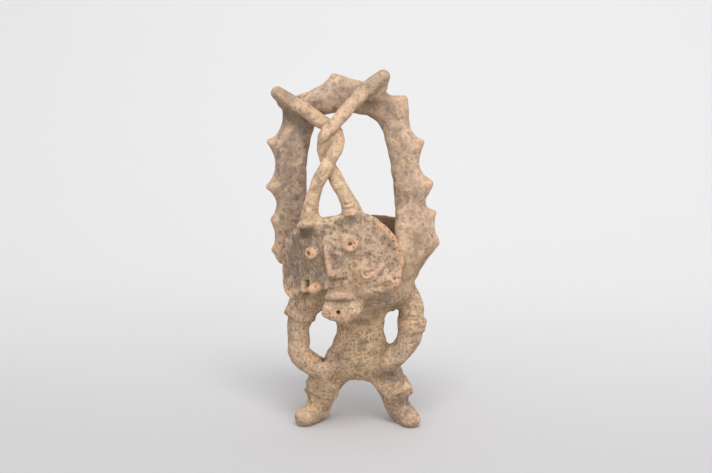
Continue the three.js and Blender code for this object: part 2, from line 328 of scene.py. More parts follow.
# Arms, with broad shoulders under the bowl and hands pressed on the hips
LEFT_ARM = [
    [-30, -6, 152, 19], [-47, -7, 146, 18], [-59, -6, 133, 14.3], [-66, -5, 115, 13.4],
    [-66.3, -5, 98, 13.4], [-64.8, -8, 80.5, 12.8], [-51.5, -13, 68.5, 11.8], [-36, -18, 60.5, 10],
]
RIGHT_ARM = [
    [30, -4, 150, 20], [46, -3, 150, 18], [58.5, -3, 137, 14], [60.5, -3, 116, 13.8],
    [56, -6, 96, 13.3], [46, -13, 82, 12.5], [33, -18, 72, 10.5],
]
coil(LEFT_ARM, 8)
coil(RIGHT_ARM, 6)

# The mouth is carried by a thick neck, and the clay is drawn up under the mask at the right
NECK = [[0, -28, 142, 19], [-9, -56, 149, 16.5]]
UNDER_MASK = [[2, -46, 158, 15], [26, -42, 158, 16], [46, -28, 162, 17]]
MASK_SEAM = [[10, -55, 160, 10], [27, -51, 161, 11], [42, -40, 164, 11]]
coil(NECK, 12)
coil(UNDER_MASK, 14)
coil(MASK_SEAM, 10)

# clay thumbed into the crook of the right hand, and then the bowl is hollowed out
lump([36.5, -8, 86.5], [6, 11, 6], 4)
carve(bowl_cut, bowl_distance(hollow, *bowl_at), 3.0)

# Gaps between the arms and the body, as outlines [x, z]
RIGHT_GAP = [
    (30, 114), (31.5, 125.5), (38.5, 131), (45.5, 127.5), (47.2, 116), (45, 104), (36, 93), (31.5, 103),
]
LEFT_GAP = [
    (-54, 110), (-54, 100), (-51.5, 90), (-46, 79.5), (-38, 70.5), (-32, 82), (-26.5, 94), (-24, 110),
    (-38, 116),
]
cut_gap(RIGHT_GAP)
cut_gap(LEFT_GAP)

# Handle: a strap pinched into spikes along its outer edge. Seen from the front, each spike is a tip
# [x, z], how deep the edge dips on the way to the next tip, and how late that dip comes
STRAP_TIPS = [
    (-88, 178, 0, 1.0), (-98, 195, 5, 0.9), (-99.5, 230, 11, 1.0), (-103.2, 266, 12, 1.0),
    (-103.2, 318, 10.5, 0.8), (-84, 361, 6, 2.0), (-28, 393, -5, 1.8), (36, 368, 0, 1.0),
    (53, 368.5, 9.5, 1.8), (74, 320, 12, 1.3), (83.5, 275, 12, 1.7), (89.5, 241.5, 6, 0.8),
    (91.6, 207, 2, 1.0), (64, 168, 0, 1.0),
]
STRAP_ARCH = [
    (45, 170), (43, 212), (41.5, 240), (38, 276), (33, 307),
    (19, 341), (-10, 349.5), (-40, 344), (-54.5, 308), (-54, 185),
]
STRAP_HALF_DEPTH, STRAP_EDGE = 12.5, 12.0
STRAP_LOW, STRAP_HIGH, STRAP_STEP = (-118.0, 160.0), (106.0, 402.0), 1.0
STRAP_FOOT, STRAP_LEAN = 6, 27  # how far the strap's feet stand off its plane, and the right one leans


def strap_outline():
    """The outer edge runs from tip to tip in hollow arcs, and the inner edge is a smooth arch."""
    edge = []
    for (x0, z0, dip, late), (x1, z1, _, _) in zip(STRAP_TIPS[:-1], STRAP_TIPS[1:]):
        dx, dz = x1 - x0, z1 - z0
        for t in np.linspace(0, 1, 10)[:-1]:
            inward = dip * (1 - (2 * t**late - 1) ** 2) / math.hypot(dx, dz)
            edge.append((x0 + dx * t + dz * inward, z0 + dz * t - dx * inward))
    return np.vstack([edge, flat_spline(STRAP_ARCH, 56)])


def blunted(table, reach):
    """A table of distances averaged over a square, which rounds off the corners of its outline."""
    for axis in (0, 1):
        table = sum(np.roll(table, shift, axis) for shift in range(-reach, reach + 1)) / (2 * reach + 1)
    return table


def strap_field():
    """The strap is thickest along its middle and thins to its edges, so its spikes are pinched sharp."""
    table = outline_distance(*plane(STRAP_LOW, STRAP_HIGH, STRAP_STEP), strap_outline())
    cut, x, y, z = window([-112, -58, 162], [100, 36, 402])
    flat = look_up(blunted(table, 2), STRAP_LOW, STRAP_STEP, x + 0 * z, z + 0 * x)
    # the left foot stands on the middle of the bowl's side, and the right one leans forwards to the mask
    low = 1 - ease(z, 190, 262)
    near_mask = 1 - ease(x, 46, 92)
    middle = np.where(x < 0, STRAP_FOOT, -STRAP_FOOT - STRAP_LEAN * near_mask) * low
    half_depth = STRAP_HALF_DEPTH + np.where(x < 0, 0, 2 * near_mask) * low
    inwards = np.clip((flat + STRAP_EDGE) / STRAP_EDGE, 0, None)
    through = (y - middle) / half_depth
    return cut, (np.sqrt(inwards**2 + through**2) - 1) * STRAP_HALF_DEPTH


press(*strap_field(), 8)

# Mask
MASK_OUTLINE = [
    (9, 32), (45, 29), (58, 20), (66, 10), (74, -4), (78, -18), (78, -34), (72, -50), (64, -60.5),
    (57, -60.5), (48, -51.5), (37, -50), (22, -47), (6, -44), (-14, -43), (-36, -42), (-53, -41),
    (-68, -45.5), (-81, -39), (-87, -20), (-85, -4), (-74, 16), (-52, 28), (-30, 31),
]
MASK_EDGE = 2.6  # the radius that its edge is rounded to
TABLE_LOW, TABLE_HIGH, TABLE_STEP = (-112.0, -92.0), (112.0, 72.0), 0.5
table_u, table_w = plane(TABLE_LOW, TABLE_HIGH, TABLE_STEP)
edge_table = outline_distance(table_u, table_w, closed_spline(MASK_OUTLINE, 6))
relief = np.zeros_like(table_u)


def hill(u, w, ru, rw, height, steep=2.0, tilt=0.0):
    """A rounded rise of the mask's face, or a dent where the height is negative."""
    c, s = math.cos(math.radians(tilt)), math.sin(math.radians(tilt))
    du, dw = table_u - u, table_w - w
    far = np.sqrt(((du * c + dw * s) / ru) ** 2 + ((dw * c - du * s) / rw) ** 2)
    return height * np.clip(1 - far**steep, 0, 1) ** (1 / steep)


def track(points, half_width, height):
    """A ridge along points [u, w], or a scratch where the height is negative."""
    path = flat_spline(points, 10 * (len(points) - 1) + 1)
    far = path_distance(table_u, table_w, path) / half_width
    return height * np.clip(1 - far**2, 0, 1) ** 0.5


def raise_face(feature):
    """Adds clay on the face: the higher of what is there and the feature."""
    np.maximum(relief, feature, out=relief)


def plane_noise(cell, seed):
    """Smooth noise over the mask's face, about -1 to 1."""
    grid = np.random.default_rng(seed).uniform(-1, 1, [int(240 / cell) + 3, int(180 / cell) + 3])
    return look_up(grid, TABLE_LOW, cell, table_u, table_w)


def rims():
    """Rolled rims down both sides, of uneven width."""
    middle = 4.8 + 1.4 * plane_noise(11, 21)
    roll = np.exp(-(((-edge_table - middle) / 4.0) ** 2))
    right = (4.6 + 1.0 * plane_noise(8, 22)) * roll * ease(table_u, 42, 66)
    return right * ease(-table_w, -30, 0) + 2.0 * roll * ease(-table_u, 62, 80)


NOSE_TOP, NOSE_TIP, NOSE_END, NOSE_LEAN, NOSE_RISE = 24, -29, -31.5, 0.075, 6.8
NOSE_WIDTH, NOSE_SLOPE_WIDTH, NOSE_END_WIDTH = 4.8, 18, 2.4


def nose():
    """A narrow ridge with a blunt end, steep to the left, and with a low slope to the right."""
    crest = -NOSE_LEAN * (NOSE_TOP - np.clip(table_w, NOSE_TIP, NOSE_TOP)) + 0.5 * plane_noise(9, 23)
    height = 1.0 + NOSE_RISE * ease(-table_w, -22, 27) + 0.8 * plane_noise(7, 24)
    off = table_u - crest
    left = np.clip(1 + off / (3.4 + 2.1 * ease(-table_w, -14, 24)), 0, 1) ** 0.5
    left *= np.clip((table_w - NOSE_END) / NOSE_END_WIDTH, 0, 1)
    ridge = 0.62 * np.clip(1 - (np.clip(off, 0, None) / NOSE_WIDTH) ** 2.4, 0, 1)
    ridge *= np.clip((table_w + 0.34 * off - NOSE_END) / NOSE_END_WIDTH, 0, 1)
    slope = 0.38 * np.clip(1 - off / NOSE_SLOPE_WIDTH, 0, 1) * ease(table_w + 0.6 * off, -34, -16)
    return height * np.where(off < 0, left, ridge + slope) * ease(-table_w, -20, -4)


relief += rims()
raise_face(nose())
# hollows under the brows, and the brow over the right one
relief += hill(-25, 20, 14, 8.5, -6.0, tilt=-4) + hill(30, 25.0, 13, 6.5, -4.5, tilt=-12)
raise_face(hill(33, 34, 9, 5.0, 7.4, 2.4, tilt=-14))
# pellets for eyes, one a broad dish and the other smaller and prouder
RIGHT_EYE_HOLE, LEFT_EYE_HOLE, CHEEK_RING = (24.8, 0.2), (-24.9, -0.6), (33.4, -34.4)
raise_face(hill(24.6, 0.8, 10.2, 9.6, 3.0, 3.0))
relief += hill(*RIGHT_EYE_HOLE, 5.0, 5.0, -1.3)
raise_face(hill(-22.6, -0.8, 9.4, 7.2, 4.4, 2.6))
# right cheek: a low cone with a ring pressed in it, over a thumbed dip
raise_face(hill(34, -34, 15, 14, 5.4, 1.3))
for reach, height, steep in ((6.5, 2.0, 5), (3.8, -2.4, 3), (1.6, 1.8, 2)):
    relief += hill(*CHEEK_RING, reach, reach, height, steep)
relief += track([(12, -41), (24, -47), (42, -50), (54, -55)], 4.0, -2.6)
# left cheek: a ring of clay around a deep slit
raise_face(track([(-35, -26), (-41, -27), (-44.5, -32.5), (-45, -40)], 2.8, 3.8))
# thumbed creases beside the nose and over the mouth, and an uneven face
relief += track([(-13, 14), (-14, -6), (-12, -24)], 3.4, -0.9)
relief += track([(22, -38), (12, -42), (2, -40)], 1.2, -0.6)
relief += 0.45 * plane_noise(6.5, 25) + 0.2 * plane_noise(3.4, 26)


def slab_field():
    """The bent slab with its relief."""
    cut, *where = window([-92, -94, 128], [96, 62, 262])
    u, w, r = mask_uwr(*where)
    flat = look_up(edge_table, TABLE_LOW, TABLE_STEP, u, w)
    lift = look_up(relief, TABLE_LOW, TABLE_STEP, u, w)
    swell = MASK_SWELL * ease(-u, 38, 84)
    front, back = MASK_RADIUS + lift + swell, MASK_RADIUS - MASK_THICKNESS + 0.5 * swell
    slab = rounded(np.maximum(r - front, back - r), flat, MASK_EDGE)
    slab[(np.abs(u) > 110) | (np.abs(w) > 90)] = FAR - MASK_EDGE
    return cut, slab


press(*slab_field(), 3.0)
# beside the mouth the clay is drawn up over the mask's lower edge
LOWER_EDGE = [[-4, -64, 163, 8], [11, -64.5, 165, 8.4], [25, -61.5, 166, 8.5], [36, -53, 166.5, 8]]
coil(LOWER_EDGE, 9)


def poke(u, w, radius, deep):
    """A hole poked with a stick."""
    carve(*disc_field(on_mask(u, w, -deep), on_mask(u, w, 12.0), radius * 0.85, radius, 0.5), 0.8)


def slit(points, radius):
    """A cut along stations [u, w, out] on the mask."""
    groove([[*on_mask(u, w, out), radius] for u, w, out in points], 0.8)


def nub(u, w, out, radii, soft):
    """A pinch of clay set on the mask and turned to lie along it."""
    x, y, _ = on_mask(u, w, 0)
    lump(on_mask(u, w, out), radii, soft, turn=math.atan2(x - BOWL_X, BOWL_Y - y), tip=-MASK_ROLL)


nub(-23.5, 30.3, 2.5, [10.2, 8.0, 3.8], 1.5)
nub(-27.6, -39.2, 3.0, [6.0, 7.5, 6.8], 1.2)
poke(*LEFT_EYE_HOLE, 2.7, 5.0)
poke(*RIGHT_EYE_HOLE, 1.6, 2.0)
# slits under the nose's end, in the left brow and in the left cheek, which is cut deep
slit([(-9, -31, 1.5), (-2, -32.8, 2.2), (6, -35.0, 1.0), (10, -36.4, 0.4)], 1.7)
slit([(-28, 31.8, 9.6), (-24, 32.2, 10.6), (-20, 32.2, 9.8)], 1.3)
for out in (-4, -1, 2):
    slit([(-37.6, -29.8, out + 1.0), (-38.6, -34, out), (-39.4, -38.5, out + 1.0)], 2.0)

# Horns rise from the mask's top, twist once and end on the handle, one lower and one higher
LOW_HORN = [
    [-50, -42, 231, 10.5], [-47.5, -50, 247, 8.6], [-39.5, -54, 276, 7.4], [-29, -54, 297, 7.5],
    [-20, -46, 313, 7.4], [-18, -37, 325, 7.4], [-23, -28, 335, 7.4], [-37, -22, 341, 7.8],
    [-58, -18, 355, 8.4], [-86, -14, 371, 7],
]
HIGH_HORN = [
    [1, -57, 236, 12], [-1, -64, 251, 10.2], [-9, -60, 268, 8], [-20, -47, 284, 7.6],
    [-30, -38, 300, 7.4], [-34, -37, 315, 7.4], [-31, -40, 328, 7.4], [-20, -38, 342, 7.6],
    [-3, -28, 362, 8.2], [14, -21, 379, 8.6], [28, -16, 390, 7.6],
]
coil(LOW_HORN, 4.5, count=80)
coil(HIGH_HORN, 3.6, count=80)
# thumbed together between the crossings
lump([-26, -38, 314], [7, 5.5, 13], 5)
# clay thumbed between the horns' roots and the slab, and where the horns lie on the handle
coil([[-47, -48, 234, 8.5], [-26, -57, 235.5, 6], [-4, -62, 239, 8.5]], 8)
coil([[-62, -8, 350, 8], [-80, -8, 362, 8]], 6)
coil([[14, -12, 370, 8], [25.5, -10, 376.5, 7.6], [28, -13, 385, 7]], 5)

# Mouth: one block with a heavy chin, parted by a groove into an upper lip, seen from the front [x, z]
MOUTH_OUTLINE = [
    (-25, 165.5), (-11, 167.5), (1, 166), (5, 161), (7.5, 156), (12, 152), (10.8, 145),
    (4, 137.5), (-7.5, 131.8), (-19, 135), (-30, 140.5), (-30, 149), (-28.5, 156), (-28.3, 162),
]
MOUTH_FRONT, MOUTH_BACK, MOUTH_ROUND = -87.0, -58.0, 5.0
LIP_HEIGHT, CHIN_HEIGHT, PARTING_HEIGHT = 163.0, 145.0, 157.0


def mouth_field():
    """The outline carried back to the neck with rounded edges, bowed a little from side to side."""
    cut, x, y, z = window([-42, -98, 120], [24, -50, 182])
    outline = closed_spline(MOUTH_OUTLINE, 5)
    flat = outline_distance((x + 0 * z)[:, 0, :], (z + 0 * x)[:, 0, :], outline)[:, None, :]
    lip, chin = np.exp(-(((z - LIP_HEIGHT) / 4) ** 2)), np.exp(-(((z - CHIN_HEIGHT) / 7) ** 2))
    parting = np.exp(-(((z - PARTING_HEIGHT) / 1.6) ** 2))
    bow = MOUTH_FRONT + 0.008 * (x + 12) ** 2 - 2.0 * lip - 1.5 * chin + 1.8 * parting
    return cut, rounded(np.maximum(bow - y, y - MOUTH_BACK), flat + 0 * y, MOUTH_ROUND)


PARTING = [
    [-33, -78, 156.4, 1.5], [-24, -85.5, 156.8, 1.5], [-11, -87.5, 157, 1.5], [2, -85.5, 157.4, 1.5],
    [11, -78, 157, 1.5],
]
press(*mouth_field(), 3.0)
groove(PARTING, 0.8)
# the hole poked in the chin
carve(*disc_field([-12, -78, 146.2], [-14, -96, 145.6], 2.2, 2.8, 0.5), 0.8)


def band(low, high, low_radius, high_radius, point, soft=1.6):
    """A band around a limb with its edge pinched out to a point on the outer side."""
    press(*disc_field(low, high, low_radius, high_radius, 1.6), soft)
    middle = (np.array(low) + np.array(high)) / 2
    root = middle + 0.62 * (np.array(point[:3]) - middle)
    coil([[*root, 7.5], point], 4)


# Cuffs of the left and right arm, two bands on the left knee and one on the right
band([-66, -5, 120.5], [-58.5, -6, 146], 17.4, 13.6, [-80.5, -5, 124.5, 2.8], 2.6)
band([60.5, -4, 107], [61, -4, 121], 15.0, 15.6, [74.8, -4, 118, 3.4])
band([-41.6, -1, 31.5], [-39.3, -1, 38.5], 18.6, 18.4, [-59.5, -3, 35, 3.0], 1.0)
band([-38.6, -1, 39.5], [-36, -1, 48.5], 18.8, 20.2, [-56, -3, 44, 4.0], 1.0)
band([44.2, -1, 36], [39.6, -1, 49], 17.8, 15.6, [59.8, -2, 35.5, 3.2], 1.0)


# Kneading
def value_noise(cell, seed):
    """Smooth noise over the block, about -1 to 1, with cells of the given size in mm."""
    counts = [int(size[k] * PITCH / cell) + 3 for k in range(3)]
    field = np.random.default_rng(seed).uniform(-1, 1, counts).astype(np.float32)
    for k in range(3):
        at = np.arange(size[k]) * PITCH / cell
        i = at.astype(int)
        t = ease((at - i).astype(np.float32), 0, 1)
        shape = [1, 1, 1]
        shape[k] = -1
        t = t.reshape(shape)
        field = np.take(field, i, axis=k) * (1 - t) + np.take(field, i + 1, axis=k) * t
    return field


knead = 1.0 * value_noise(21, 1) + 0.7 * value_noise(9, 2) + 0.35 * value_noise(4, 3)
limbs = 1 + 0.4 * ease(-AXES[2], -150, -125)  # the body and limbs are the lumpiest
fade = (limbs * ease(AXES[2], 0, 7)).astype(np.float32)[None, None, :]
near = np.abs(clay) < MARGIN
clay[near] += (knead * fade)[near]
del knead, near

# Creases and cracks in the front surface: radius, then points [x, z]
SCRATCHES = [
    (1.8, (-14, 258), (-5, 259), (4, 262)),
    (1.3, (-12, 254), (-2, 254.5), (5, 257)),
    (1.3, (-36, 318), (-29, 322), (-22, 330)),
    (1.0, (-38, 306), (-28, 307), (-19, 312)),
    (1.2, (-32, 286), (-27, 292), (-24, 299)),
    (0.9, (-25, 152), (-9, 153.2), (8, 152)),
    (0.7, (-22, 148.6), (-6, 149.8), (7, 148)),
    (0.9, (-20, 164), (-6, 164.6), (3, 163)),
    (1.2, (8, 151), (18, 154), (32, 152)),
    (1.0, (10, 146), (22, 149), (36, 146)),
    (1.4, (24, 142), (36, 141), (47, 138)),
    (1.1, (-58, 66), (-50, 63), (-40, 64)),
    (1.7, (31, 88), (26.5, 79), (26, 70), (31, 61), (42, 57)),
    (1.2, (50, 106), (62, 103), (74, 106)),
    (1.0, (47, 124), (60, 126), (73, 124)),
    (1.1, (-63, 17), (-55, 18), (-46, 16)),
    (0.9, (-12, 101), (3, 103), (16, 98)),
    (1.5, (16, 170), (26, 163), (40, 160)),
    (1.3, (14, 160), (26, 154), (42, 150)),
    (1.2, (28, 136), (40, 146), (52, 158)),
    (1.0, (-32, 54), (-22, 58), (-12, 66)),
    (1.0, (30, 66), (38, 60), (48, 58)),
]
for radius, *points in SCRATCHES:
    scratch(points, radius)

# The soles are worn flat
clay = np.maximum(clay, -AXES[2][None, None, :].astype(np.float32))


# Skin
def put_in_scene(name, data):
    """A new object that holds the data."""
    thing = bpy.data.objects.new(name, data)
    bpy.context.collection.objects.link(thing)
    return thing


def take_off_skin():
    """The block's zero surface as a mesh of triangles and quads in metres, in the frame of the part."""
    grid = openvdb.FloatGrid()
    grid.background = FAR
    grid.copyFromArray(np.ascontiguousarray(clay))
    points, triangles, quads = grid.convertToPolygons(isovalue=0.0, adaptivity=0.0)
    places = (np.asarray(points) * PITCH + LOW - PLAN_CENTRE) * MM
    mesh = bpy.data.meshes.new("burner_clay")
    mesh.from_pydata(places.tolist(), [], np.asarray(triangles).tolist() + np.asarray(quads).tolist())
    mesh.validate()
    return mesh


mesh = take_off_skin()
bm = bmesh.new()
bm.from_mesh(mesh)
bmesh.ops.triangulate(bm, faces=bm.faces)
bmesh.ops.recalc_face_normals(bm, faces=bm.faces)
bm.to_mesh(mesh)
bm.free()
piece = put_in_scene("burner_clay", mesh)
if len(mesh.polygons) > TRIANGLES:
    thin = piece.modifiers.new("thin", "DECIMATE")
    thin.ratio = TRIANGLES / len(mesh.polygons)
    bpy.context.view_layer.objects.active = piece
    bpy.ops.object.modifier_apply(modifier="thin")
mesh = piece.data
mesh.shade_smooth()


# Marks carried by the surface, and painted shade
def box_blur(field, radius):
    """A running mean along each axis."""
    n = max(int(round(radius / PITCH)), 1)
    for k in range(3):
        before, after = np.take(field, [0] * n, axis=k), np.take(field, [-1] * (n + 1), axis=k)
        total = np.cumsum(np.concatenate([before, field, after], axis=k), axis=k, dtype=np.float32)
        upper = np.take(total, np.arange(2 * n, 2 * n + field.shape[k]), axis=k)
        field = (upper - np.take(total, np.arange(field.shape[k]), axis=k)) / (2 * n)
    return field


def sample(field, at):
    """Trilinear reading at places in the sculptor's frame."""
    f = np.clip((at - LOW) / PITCH, 0, np.array(field.shape) - 1.001)
    i = f.astype(int)
    t = f - i
    out = 0
    for corner in np.ndindex(2, 2, 2):
        weight = np.prod(np.where(corner, t, 1 - t), axis=1)
        out = out + weight * field[i[:, 0] + corner[0], i[:, 1] + corner[1], i[:, 2] + corner[2]]
    return out


def of_vertices(name):
    """A property [x, y, z] of every vertex."""
    values = np.empty(len(mesh.vertices) * 3)
    mesh.vertices.foreach_get(name, values)
    return values.reshape(-1, 3)


co = of_vertices("co") / MM + PLAN_CENTRE
face_u, face_w, face_r = mask_uwr(co[:, 0], co[:, 1], co[:, 2])
face_edge = look_up(edge_table, TABLE_LOW, TABLE_STEP, face_u, face_w)
on_face = (face_edge < 1.5) & (face_r > MASK_RADIUS - 4) & (face_r < MASK_RADIUS + 18)

full = np.clip(0.5 - clay / PITCH, 0, 1).astype(np.float32)
close_fill = sample(box_blur(full, 2.6), co)
wide_fill = sample(box_blur(box_blur(full, 8.0), 6.0), co)
del full


def faded(far, edge):
    """1 near by, and 0 further off, with a fade of the given half width around 1."""
    return np.clip((1 + edge - far) / (2 * edge), 0, 1)


def ball(centre, radii, edge=0.5):
    """A mark inside an ellipsoid."""
    return faded(np.sqrt((((co - np.array(centre)) / np.array(radii)) ** 2).sum(1)), edge)


def patch(u, w, ru, rw, edge=0.5):
    """A mark on the mask's face."""
    return faded(np.sqrt(((face_u - u) / ru) ** 2 + ((face_w - w) / rw) ** 2), edge) * on_face


def along(points, radius, edge=0.5):
    """A mark along a path."""
    nearest = np.full(len(co), np.inf)
    for place in spline(points, 8 * (len(points) - 1) + 1):
        nearest = np.minimum(nearest, ((co - place) ** 2).sum(1))
    return faded(np.sqrt(nearest) / radius, edge)


def most(*shares):
    return np.maximum.reduce(shares)


# recess and under are painted shade: darker where the clay around is thick and where the surface faces down
marks = {
    "ridge": np.clip((0.5 - close_fill) * 5.0, -1, 1),
    "recess_shade": np.clip((wide_fill - 0.42) * 2.8, 0, 1),
    "under_shade": np.clip(-of_vertices("normal")[:, 2], 0, 1),
    "face": on_face,
}

# orange where thin or raised clay burned brightest
mask_edge = on_face * ease(face_edge, -9.5, -6.0)
sharp_tips = [(x, z) for x, z, dip, _ in STRAP_TIPS if dip > 1]
marks["warm"] = most(
    *[0.55 * ball([x, 0, z], [14, 14, 12]) for x, z in sharp_tips],
    0.95 * patch(25, 0.5, 10.4, 9.6, 0.15),
    1.2 * patch(-22.5, -0.5, 9, 7.2, 0.2),
    patch(-3.6, -5, 3.0, 14, 0.25),
    patch(-4.6, -22, 3.6, 9, 0.25),
    0.8 * patch(1, -26, 6, 3.4, 0.4),
    1.2 * patch(-27.6, -39.2, 7, 8, 0.25),
    0.8 * patch(-43.5, -34, 3, 8, 0.3),
    0.75 * patch(34, -34, 8, 8),
    1.1 * patch(-24, 31, 11, 3.8, 0.3),
    0.95 * patch(33, 35, 9, 5, 0.4),
    0.2 * ball([-12, -88, 163], [20, 16, 8], 0.25),
    0.95 * ball([-10, -86, 138], [24, 18, 10], 0.3),
    0.3 * ball([34, -26, 76], [12, 10, 10]),
    1.15 * mask_edge * ease(face_u, 36, 58) * ease(-face_w, -28, -10),
    0.8 * mask_edge * ease(-face_u, 56, 70) * ease(-face_w, -6, 10),
    0.6 * patch(-65, -34, 8, 9, 0.4),
    0.4 * along([[-62, -20, 94], [-50, -26, 72]], 10),
    0.3 * along([[-20, -46, 342], [-3, -36, 362], [14, -29, 379]], 10),
    0.35 * along([[-37, -30, 341], [-58, -26, 355], [-80, -22, 367]], 10),
    0.15 * along([[62, -16, 118], [58, -19, 100], [44, -25, 84]], 12),
    0.25 * ball([46, -20, 42], [16, 18, 6]),
    0.15 * ball([60, -22, 8], [16, 14, 12]),
)

# grey fire clouds, and painted shade on the face's left half, in the brow hollows and under the horns and
# mask
marks["smoke"] = most(
    patch(-46, -4, 42, 32, 0.35),
    0.9 * patch(-20, -20, 18, 16),
    1.2 * patch(-26, -17, 9, 8, 0.4),
    1.3 * patch(9, -10, 7, 12, 0.4),
    0.3 * patch(52, -6, 30, 28),
    0.45 * patch(72, -22, 7, 26, 0.5),
    1.6 * patch(-24, 21, 13, 7),
    patch(30, 25, 11, 4.5),
    1.3 * patch(-12, -8, 3.4, 22, 0.4),
    0.35 * along([[-70, -12, 222], [-71, -12, 240]], 16),
    0.8 * along([[-72, -12, 262], [-73, -12, 310]], 16),
    1.2 * along([[-72, -12, 350], [-62, -12, 334]], 13),
    0.7 * ball([22, -12, 352], [20, 20, 9]),
    0.8 * along([[-88, -14, 372], [-70, -16, 362]], 12),
    0.5 * along([[12, -26, 380], [28, -20, 391]], 12),
    0.3 * along([[0, -74, 248], [-9, -70, 268]], 12),
    0.35 * ball([70, -22, 190], [20, 36, 30]),
    0.3 * along([[68, -24, 214], [64, -16, 250]], 14),
    0.7 * ball([32, -60, 158], [26, 16, 13]),
    0.6 * along([[56, -20, 96], [46, -24, 84], [36, -28, 76]], 13),
    0.5 * ball([-12, -88, 163], [20, 16, 8]),
    0.4 * ball([-36, -20, 61], [12, 16, 12]),
    0.4 * ball([-82, -14, 370], [14, 12, 10]),
    0.25 * along([[-62, -20, 72], [-46, -26, 60]], 12),
    0.12 * along([[52, -14, 300], [60, -14, 262]], 14),
    0.3 * along([[-36, -14, 366], [-8, -14, 368]], 18),
    0.6 * ball([-20, -28, 78], [11, 16, 11]),
    1.1 * ball([42, -20, 57], [17, 17, 8]),
    1.2 * ball([47, -14, 26], [19, 20, 13]),
    0.7 * ball([-54, -20, 6], [18, 20, 9]),
    0.5 * ball([56, -14, 12], [16, 18, 10]),
    0.3 * ball([60, -14, 10], [18, 22, 12]),
    0.7 * along([[-76, -8, 118], [-76, -8, 98], [-68, -10, 80]], 10),
    0.4 * ball([-46, -14, 38], [16, 12, 8]),
    0.5 * ball([68, -14, 102], [12, 14, 12]),
)

# yellow slip left on the roots of the horns, down the bowl and on the body
marks["pale"] = most(
    0.9 * along([[-46, -56, 234], [-44, -56, 258], [-36, -56, 284]], 15),
    0.5 * along([[-14, -66, 240], [-1, -70, 250], [-8, -64, 270]], 14),
    0.45 * patch(-10, 26, 16, 8),
    0.4 * along([[-44, -22, 150], [-60, -20, 138]], 12),
    0.7 * along([[63, -16, 128], [63, -18, 110]], 12),
    along([[-6, -30, 104], [8, -30, 88], [16, -30, 72]], 13),
    0.6 * along([[-44, -16, 28], [-48, -16, 18]], 12),
    0.6 * ball([-30, -26, 92], [10, 12, 10]),
    0.7 * ball([-52, -20, 134], [12, 12, 12]),
    0.5 * along([[-74, -12, 215], [-78, -12, 235]], 14),
    0.7 * ball([-24, -24, 54], [14, 14, 8]),
)
marks["ochre"] = most(
    1.2 * ball([66, -26, 190], [24, 40, 26]),
    0.6 * ball([0, -26, 104], [36, 24, 50]),
    0.9 * ball([16, -26, 126], [22, 24, 22]),
    0.5 * along([[-30, -26, 60], [-44, -20, 30], [-50, -20, 10]], 18),
    0.8 * patch(16, -38, 18, 9),
    0.45 * patch(48, 2, 34, 24),
    0.8 * patch(30, 25, 12, 6),
    0.7 * ball([28, -58, 160], [26, 18, 12]),
    0.5 * along([[40, -18, 150], [62, -16, 140]], 20),
    0.6 * ball([-82, -14, 370], [14, 12, 10]),
    0.6 * ball([30, -10, 352], [16, 14, 9]),
    0.45 * along([[-39, -62, 276], [-29, -62, 297], [-22, -50, 318], [-30, -46, 330]], 14),
    0.4 * along([[-9, -68, 268], [-20, -55, 284]], 12),
    0.35 * along([[-34, -45, 306], [-31, -48, 328]], 12),
)

# the mask and the handle's front are spotted, and the lower body is gritty
marks["marked"] = np.clip(
    0.85 * on_face
    + along([[-70, -12, 205], [-72, -12, 262], [-72, -12, 316], [-54, -12, 352]], 22, 0.3)
    + 0.75 * along([[-40, -12, 364], [8, -12, 366], [32, -12, 350], [52, -12, 300], [62, -12, 220]], 24, 0.3),
    0.12,
    1,
)
marks["handle"] = ease(co[:, 2], 205, 225) * ease(co[:, 1], -26, -14) * (1 - on_face)
marks["gritty"] = ease(-co[:, 2], -182, -145) * (1 - on_face) * (1 - 0.7 * ball([-52, -8, 8], [26, 36, 24]))
# the inside of the bowl is darkened: soot and painted shade
bowl_wall = bowl_distance(hollow, co[:, 0], co[:, 1], co[:, 2])
inside = (1 - ease(np.abs(bowl_wall), 1.8, 4.0)) * (co[:, 2] < 234)
marks["inside"] = inside * np.where(np.abs(co[:, 0]) > 34, ease(co[:, 1], -6, 2), 1)

